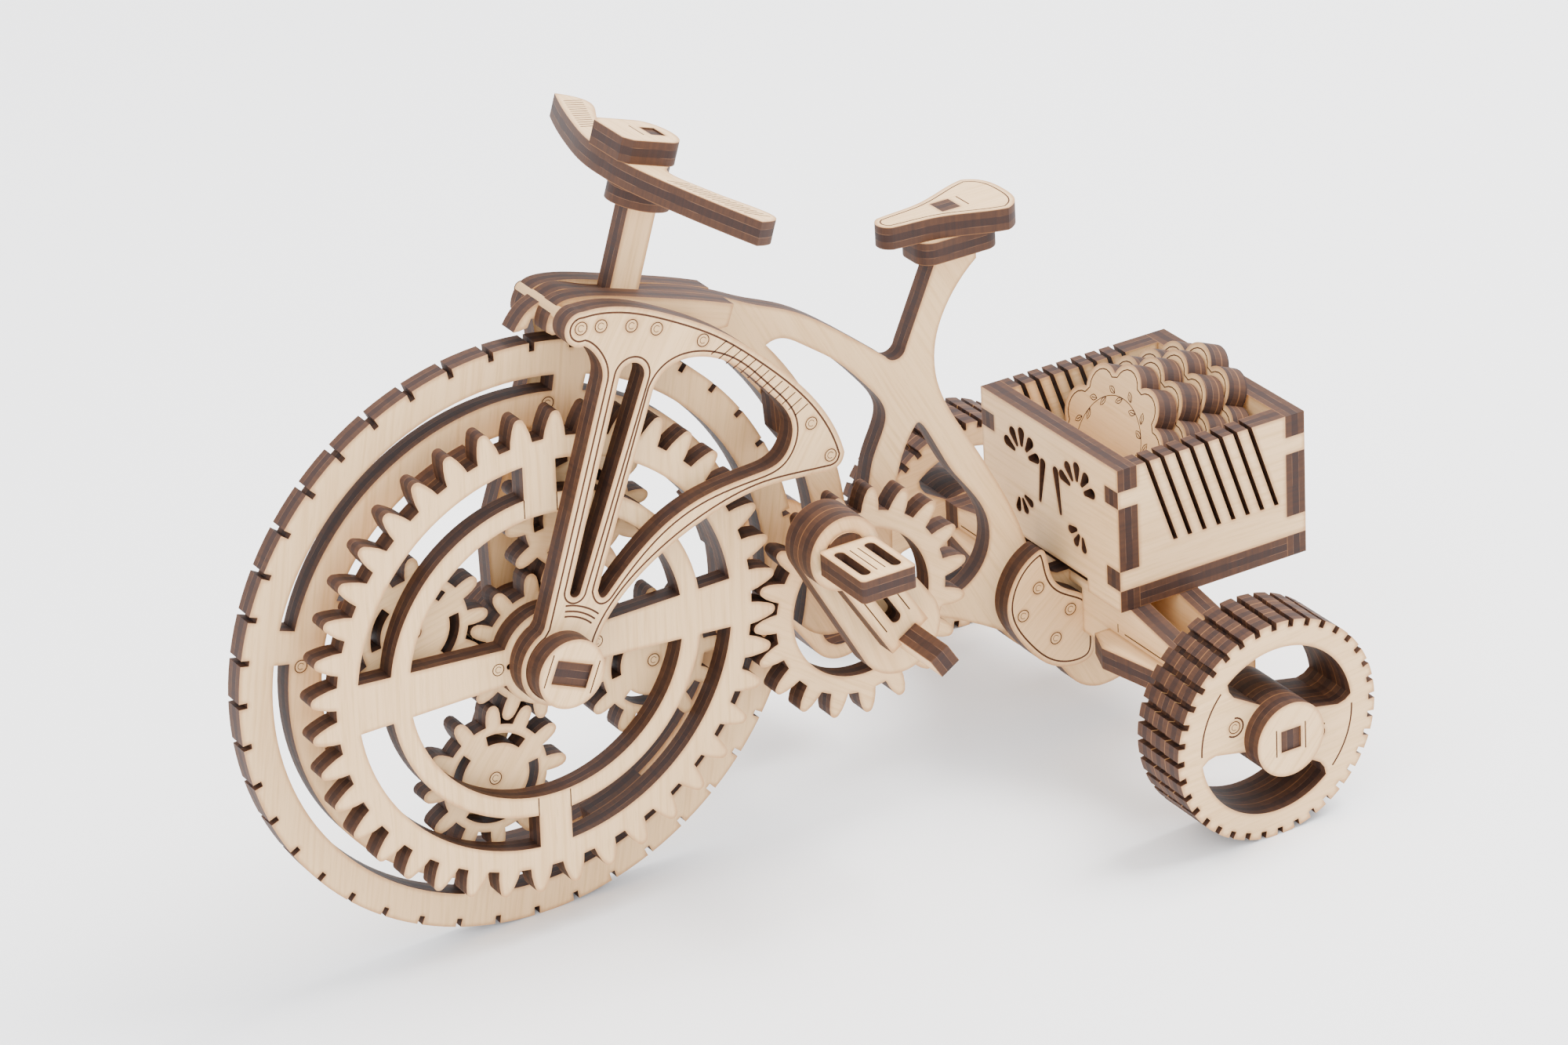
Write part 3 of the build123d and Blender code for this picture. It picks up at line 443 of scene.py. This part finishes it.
finish_nodes(["tyre"], grain=turned(80), tone=0.25)
finish_nodes(["ring_gear"], grain=turned(88), tone=0.10)
finish_nodes(["planet_spacers"], grain=turned(15), tone=0.55)
finish_nodes(["sun_gear"], grain=turned(70), tone=0.45)
for number in range(1, 5):
    finish_nodes([f"planet_gear_{number}"], grain=turned(120 + 37 * number), tone=0.5)
finish_nodes(["hub_bushes"], grain=turned(20), tone=0.4)
finish_nodes(["wheel_pins"], grain=turned(50), tone=0.75, burn=0.2)

PLANET_R, PLANET_FIRST = 23.5, 66.4
SPOKE_TILT, SPOKE_HALF = -1.9, 3.0
RING_FACE_Y, PLANET_FACE_Y, SHEET_FACE_Y = 9.9, 5.9, 2.0
SMALL_PIN_AT, SMALL_PIN_R = 9.2, 1.0
TYRE_PIN_AT, TYRE_PIN_FIRST = 41.1, 79.3
ring_face = side_face(RING_FACE_Y, 1)
lines = Engraving("ring_gear_lines", "front_wheel")
for spoke in (90, 270):
    direction = Vector(around(1, spoke + SPOKE_TILT))
    for edge in (-SPOKE_HALF, SPOKE_HALF):
        beside = Vector((-direction.y, direction.x)) * edge
        lines.line(ring_face, [direction * 25.5 + beside, direction * 28.8 + beside], 0.2)
pin_rings(lines, ring_face, [around(SMALL_PIN_AT, SPOKE_TILT + a) for a in (180, 0)], SMALL_PIN_R)
lines.make()
lines = Engraving("planet_pin_rings", "front_wheel")
planet_pins = [around(PLANET_R, PLANET_FIRST + 90 * k) for k in range(4)]
tyre_pins = [around(TYRE_PIN_AT, TYRE_PIN_FIRST + 90 * k) for k in range(4)]
pin_rings(lines, side_face(PLANET_FACE_Y, 1), planet_pins)
pin_rings(lines, side_face(SHEET_FACE_Y, 1), tyre_pins)
lines.make()

# ------------------------------------------------------------------ axle and hub caps
# The axle is a flat bar cut across the sheet, so its ends show the veneers. Round caps hold it.

BAR_TURN = -23.6
finish_nodes(["front_axle"], axis=turned(BAR_TURN + 90), grain=SIDEWAYS, start=-2.1)
for hand, way in (("left", 1), ("right", -1)):
    finish_nodes([f"hub_cap_{hand}"], grain=turned(60), tone=0.05)
    cap_face = side_face(18.0 if way > 0 else -10.0, way)
    lines = Engraving(f"hub_cap_lines_{hand}", "frame")
    for offset in (-4.5, 4.5):
        middle = Vector(around(offset, BAR_TURN))
        half = Vector(around(2.9, BAR_TURN + 90))
        lines.line(cap_face, [middle - half, middle + half], 0.22)
    lines.make()

# ------------------------------------------------------------------ fork and stay
# One curved side plate on the left, pinned through the head, and a plain stay on the right. A
# laser line follows the fork's outlines.

FORK_PINS = [(8.5, 57.8), (12.1, 57.2), (17.6, 55.7), (22.1, 53.9), (30.4, 49.5), (49.6, 29.0), (52.9, 22.2)]
HATCH_FIRST, HATCH_LAST, HATCH_COUNT = ((31.7, 46.6), (34.8, 48.2)), ((46.6, 31.3), (49.2, 32.7)), 13
finish_nodes(["fork"], grain=turned(58), tone=0.12)
finish_nodes(["head_plate", "head_filler"], grain=turned(-20), tone=0.35)
finish_nodes(["stay"], grain=turned(75), tone=0.4)
FORK_FACE_Y, STAY_FACE_Y, HATCH_BULGE = 14.0, -6.0, 0.3
fork_face = side_face(FORK_FACE_Y, 1)
lines = Engraving("fork_lines", "frame")
for run, closed in inset_lines(face_loops("fork", fork_face), 1.0):
    lines.line(fork_face, run, closed=closed)
for k in range(HATCH_COUNT):
    share = k / (HATCH_COUNT - 1)
    ends = [Vector(a).lerp(Vector(b), share) for a, b in zip(HATCH_FIRST, HATCH_LAST)]
    bulge = Vector((1.0, 1.0)) * HATCH_BULGE * math.sin(math.pi * share)
    lines.line(fork_face, [end + bulge for end in ends], 0.2)
for radius in (10.4, 9.4, 8.5):
    lines.arc(fork_face, (0, 0), radius, 42, 80)
pin_rings(lines, fork_face, FORK_PINS)
lines.make()
lines = Engraving("stay_pin_rings", "frame")
pin_rings(lines, side_face(STAY_FACE_Y, -1), FORK_PINS[:5])
lines.make()
finish_nodes(["corner_spacers"], grain=turned(60), tone=0.5)
finish_nodes(["fork_pins", "cheek_pins"], grain=turned(35), tone=0.7, burn=0.2)

# ------------------------------------------------------------------ frame
# One centre sheet carries everything: head, leg, backbone, saddle post and tail. Two cheeks are
# pinned on the tail.

finish_nodes(["frame_plate"], grain=turned(-62), tone=0.3)
CHEEK_PINS = [(97.5, -19.8), (94.2, -24.2), (103.9, -25.9), (100.7, -30.6)]
for hand, way in (("left", 1), ("right", -1)):
    finish_nodes([f"cheek_{hand}"], grain=turned(40), tone=0.5)
    cheek_face = side_face(6.0 * way, way)
    lines = Engraving(f"cheek_lines_{hand}", "frame")
    for run, closed in inset_lines(face_loops(f"cheek_{hand}", cheek_face), 1.0):
        lines.line(cheek_face, run, closed=closed)
    pin_rings(lines, cheek_face, CHEEK_PINS)
    lines.make()

# ------------------------------------------------------------------ handlebar
# The stem leans back out of the head. Washer, winged bar and block are threaded on its tenon.

LEAN = math.radians(18.5)
STEM_AXIS = Vector((-math.sin(LEAN), 0, math.cos(LEAN)))
STEM_BACK = Vector((-math.cos(LEAN), 0, -math.sin(LEAN)))
STEM_TOP = Vector((-31.4, 0, 81.0))
stem_start = STEM_TOP.dot(STEM_AXIS)
finish_nodes(["handlebar_stem"], grain=STEM_AXIS, tone=0.3)
for name, tone in (("handlebar", 0.1), ("stem_block", 0.0), ("stem_disc", 0.35)):
    finish_nodes([name], axis=STEM_AXIS, grain=SIDEWAYS, start=stem_start, tone=tone)

bar_face = Face(STEM_TOP - STEM_AXIS * 4.0, STEM_BACK, STEM_AXIS.cross(STEM_BACK))
lines = Engraving("handlebar_grip_lines", "frame")
GRIP_LINES, GRIP_FROM, GRIP_TO = 13, 14.0, 29.0
for way in (1, -1):
    for k in range(GRIP_LINES):
        b = GRIP_FROM + (GRIP_TO - GRIP_FROM) * k / (GRIP_LINES - 1)
        front = -5.2 + (b - 15.2) * 0.36 + 1.1
        back = 0.2 + (b - 15.3) * 0.40 - 0.6
        lines.line(bar_face, [(front, way * b), (back, way * (b + 1.2))], 0.22)
lines.make()
block_face = Face(STEM_TOP, STEM_BACK, STEM_AXIS.cross(STEM_BACK))
lines = Engraving("stem_block_lines", "frame")
lines.line(block_face, [(-3.1, -2.4), (-3.1, 2.4)], 0.24)
lines.make()

# ------------------------------------------------------------------ saddle
# A flat top with an engraved border, on a rounded strip, tenoned on the post.

finish_nodes(["saddle"], axis=UPRIGHT, grain=FORWARD, start=53.3, tone=0.0)
finish_nodes(["saddle_spacer"], axis=UPRIGHT, grain=FORWARD, start=49.3, tone=0.3)
saddle_face = Face((0, 0, 53.3), (-1, 0, 0), (0, -1, 0))
lines = Engraving("saddle_lines", "frame")
for run, closed in inset_lines(face_loops("saddle", saddle_face), 1.0, shortest=20):
    lines.line(saddle_face, run, 0.24, closed)
lines.line(saddle_face, [(89.2, -2.0), (89.2, 2.0)], 0.24)
lines.make()

# ------------------------------------------------------------------ drive and pedals
# A toothed wheel on a square stick, which sticks out past the cranks at both ends. Each crank
# ends in a drum, in which the pedal's round spindle turns.

CRANK_DIR = 121.7
DRIVE_AT = (59.7, -9.1)
finish_nodes(["drive_gear"], grain=turned(145), tone=0.3)
stick_normal = turned(CRANK_DIR + 90)
drive_place = Vector((-DRIVE_AT[0], 0, DRIVE_AT[1]))
finish_nodes(["pedal_axle"], axis=stick_normal, grain=SIDEWAYS, start=drive_place.dot(stick_normal) - 2.0)
for hand, way in (("left", 1), ("right", -1)):
    finish_nodes([f"crank_{hand}"], grain=turned(110), tone=0.35)
    direction = CRANK_DIR if way > 0 else CRANK_DIR + 180
    hub = around(23.0, direction, DRIVE_AT)
    finish_nodes([f"pedal_{hand}"], axis=UPRIGHT, grain=SIDEWAYS, start=hub[1] - 2.0, tone=0.1)
    crank_face = side_face(26.0 * way, way)
    lines = Engraving(f"crank_lines_{hand}", "drive")
    run = Vector(around(1, direction))
    beside = Vector((-run.y, run.x))
    for offset in (-2.7, 2.7):
        lines.line(crank_face, [Vector(DRIVE_AT) + run * s + beside * offset for s in (4.9, 14.5)], 0.22)
    lines.make()
    tread_face = Face((0, 0, hub[1] + 2.0), (-1, 0, 0), (0, -1, 0))
    lines = Engraving(f"pedal_lines_{hand}", f"pedal_{hand}")
    for offset in (-0.75, 0.75):
        lines.line(tread_face, [(hub[0] + offset, -way * 28.9), (hub[0] + offset, -way * 37.4)], 0.22)
    lines.make()

# ------------------------------------------------------------------ rear wheels
# Three notched sheets each, pinned together and pressed on a square stick with a round cap.

REAR_AT = (113.4, -31.8)
SPOKE_DIR = 159.0
finish_nodes(["rear_axle"], axis=FORWARD, grain=SIDEWAYS, start=-REAR_AT[0] - 2.0)
finish_nodes(["rear_wheel_pins"], grain=turned(70), tone=0.7, burn=0.2)
for hand, way in (("left", 1), ("right", -1)):
    finish_nodes([f"rear_wheel_{hand}"], grain=turned(5), tone=0.15)
    finish_nodes([f"rear_cap_{hand}"], grain=turned(50), tone=0.0)
    wheel_face = side_face(54.0 * way, way)
    lines = Engraving(f"rear_wheel_lines_{hand}", "rear_wheels")
    for spoke in (SPOKE_DIR, SPOKE_DIR + 180):
        lines.arc(wheel_face, REAR_AT, 15.4, spoke - 22, spoke + 22)
        pin = around(9.3, spoke, REAR_AT)
        pin_rings(lines, wheel_face, [pin])
        lines.arc(wheel_face, pin, 1.75, spoke + 70, spoke + 290)
    lines.make()
    cap_face = side_face(58.0 * way, way)
    lines = Engraving(f"rear_cap_lines_{hand}", "rear_wheels")
    for offset in (-2.95, 2.95):
        u = REAR_AT[0] + offset
        lines.line(cap_face, [(u, REAR_AT[1] - 2.55), (u, REAR_AT[1] + 2.55)], 0.24)
    lines.make()

# ------------------------------------------------------------------ rear bracket
# Cross panels under the basket with ledges in front and bearing plates at their ends.

finish_nodes(["bracket_front"], axis=FORWARD, grain=SIDEWAYS, start=-106.4, tone=0.45)
finish_nodes(["bracket_rear"], axis=FORWARD, grain=SIDEWAYS, start=-116.4, tone=0.6)
finish_nodes(["bracket_shelves"], axis=UPRIGHT, grain=SIDEWAYS, start=-31.0, tone=0.2)
finish_nodes(["axle_hangers"], grain=turned(30), tone=0.4)
panel_face = Face((-106.4, 0, 0), (0, 1, 0), (0, 0, 1))
lines = Engraving("bracket_lines", "frame")
for way in (1, -1):
    lines.line(panel_face, [(way * 17.0, -26.6), (way * 17.0, -25.0)], 0.24)
    lines.line(panel_face, [(way * 19.0, -26.2), (way * 33.0, -26.2)], 0.24)
lines.make()

# ------------------------------------------------------------------ basket
# Five sheets joined by tabs: slotted sides, a pierced front, a plain back and a floor.

finish_nodes(["basket_front"], axis=FORWARD, grain=SIDEWAYS, start=-104.4, tone=0.35)
finish_nodes(["basket_back"], axis=FORWARD, grain=SIDEWAYS, start=-143.2, tone=0.35)
finish_nodes(["basket_side_left"], grain=FORWARD, start=17.2, tone=0.0)
finish_nodes(["basket_side_right"], grain=FORWARD, start=-21.2, tone=0.2)
finish_nodes(["basket_floor"], axis=UPRIGHT, grain=SIDEWAYS, start=-20.5, tone=0.4)

# ------------------------------------------------------------------ discs
# Four scalloped plywood discs stand in the basket and lean back. Each is engraved with a border
# line, a wreath of small leaves and a circle.

DISC_LEAN = math.radians(22)
DISC_R, DISC_LOBES, DISC_PITCH, LOBE_R = 15.2, 10, 4.9, 4.2
disc_out = Vector((math.cos(DISC_LEAN), 0, math.sin(DISC_LEAN)))
disc_up = Vector((-math.sin(DISC_LEAN), 0, math.cos(DISC_LEAN)))
disc_foot = Vector((-110.9, 0, -16.5))
DISC_LIFT = DISC_R * math.cos(DISC_LEAN) + 4.0 * math.sin(DISC_LEAN) + 0.05
disc_centre = disc_foot + Vector((-DISC_R * math.sin(DISC_LEAN), 0, DISC_LIFT))
finish_nodes(["basket_discs"], axis=disc_out, grain=SIDEWAYS, start=disc_centre.dot(disc_out), tone=0.75)


def disc_border(lines, face, inset=1.0):
    """Line that follows the scallops inside the edge."""
    lobe_at, lobe_r = DISC_R - LOBE_R, LOBE_R - inset
    points = []
    for lobe in range(DISC_LOBES):
        turn = (lobe + 0.5) * 360 / DISC_LOBES
        centre = around(lobe_at, turn)
        reach = 74
        for k in range(9):
            points.append(Vector(around(lobe_r, turn - reach + 2 * reach * k / 8, centre)))
    lines.line(face, points, 0.22, closed=True)


def leaf(lines, face, root, direction, length, width, line=0.16):
    """Outline of a pointed leaf with a midrib."""
    run = Vector(around(1, direction))
    beside = Vector((-run.y, run.x))
    root = Vector(root)

    def edge(share, way):
        return root + run * length * share + beside * way * width * math.sin(math.pi * share)

    border = [edge(s, 1) for s in (0, 0.2, 0.4, 0.6, 0.8, 1)] + [edge(s, -1) for s in (0.8, 0.6, 0.4, 0.2)]
    lines.line(face, border, line, closed=True)
    lines.line(face, [root, root + run * length * 0.75], line)


lines = Engraving("disc_lines", "frame")
for number in range(4):
    centre = disc_centre + Vector((-DISC_PITCH * number, 0, 0))
    disc_face = Face(centre, (0, 1, 0), disc_up)
    disc_border(lines, disc_face)
    for k in range(24):
        turn = 15 * k
        leaf(lines, disc_face, around(9.0 + 0.5 * (k % 2), turn), turn + (55 if k % 2 else 125), 2.0, 0.5)
    lines.arc(disc_face, (0, 0), 9.1, 0, 360, 0.14)
lines.make()

# ------------------------------------------------------------------ floor, light and camera
# A pale sweep, a large soft light from the upper right and a broad fill from the left.


def floor():
    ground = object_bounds()[0][2]
    mesh = bpy.data.meshes.new("floor")
    half = 6.0
    corners = [(x * half, y * half, ground) for x, y in ((-1, -1), (1, -1), (1, 1), (-1, 1))]
    mesh.from_pydata(corners, [], [(0, 1, 2, 3)])
    sheet = bpy.data.objects.new("floor", mesh)
    bpy.context.collection.objects.link(sheet)
    made = bpy.data.materials.new("pale_floor")
    made.use_nodes = True
    t = Tree(made.node_tree)
    shader = made.node_tree.nodes["Principled BSDF"]
    place = t.node("ShaderNodeTexCoord").outputs["Object"]
    cloud = t.noise(place, 3.0, 2.0)
    t.plug(shader, "Base Color", t.mix(cloud, (0.93, 0.925, 0.93, 1), (0.95, 0.948, 0.95, 1)))
    shader.inputs["Roughness"].default_value = 0.7
    mesh.materials.append(made)
    sheet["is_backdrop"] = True


floor()
world = bpy.data.worlds.new("studio")
bpy.context.scene.world = world
world.use_nodes = True
world.node_tree.nodes["Background"].inputs[0].default_value = (0.97, 0.98, 1.0, 1)
world.node_tree.nodes["Background"].inputs[1].default_value = 2.2

CAMERA_AZIMUTH, CAMERA_HEIGHT, CAMERA_ROLL = 29.64, 26.62, -3.44
CAMERA_DISTANCE, CAMERA_LENS = 0.9729, 133.1
camera_target = Vector((-0.0513, 0.0, 0.0046))


def from_target(azimuth, height, distance):
    """Point seen from the target at an azimuth from the rider's left towards the front."""
    a, e = math.radians(azimuth), math.radians(height)
    direction = Vector((math.sin(a) * math.cos(e), math.cos(a) * math.cos(e), math.sin(e)))
    return camera_target + direction * distance


def soft_light(name, azimuth, height, distance, size, power, colour=(1, 1, 1)):
    light = bpy.data.lights.new(name, "AREA")
    light.energy, light.size, light.color = power, size, colour
    lamp = bpy.data.objects.new(name, light)
    bpy.context.collection.objects.link(lamp)
    lamp.location = from_target(azimuth, height, distance)
    lamp.rotation_euler = (camera_target - lamp.location).to_track_quat("-Z", "Y").to_euler()


soft_light("key", -80, 58, 1.3, 0.7, 34)
soft_light("fill", 60, 35, 1.5, 1.2, 16)

camera = bpy.data.cameras.new("camera")
camera.sensor_width, camera.lens, camera.clip_start = 36.0, CAMERA_LENS, 0.01
eye = bpy.data.objects.new("camera", camera)
bpy.context.collection.objects.link(eye)
spot = from_target(CAMERA_AZIMUTH, CAMERA_HEIGHT, CAMERA_DISTANCE)
level_view = (camera_target - spot).to_track_quat("-Z", "Y").to_matrix().to_4x4()
eye.matrix_world = Matrix.Translation(spot) @ level_view @ Matrix.Rotation(math.radians(CAMERA_ROLL), 4, "Z")
bpy.context.scene.camera = eye
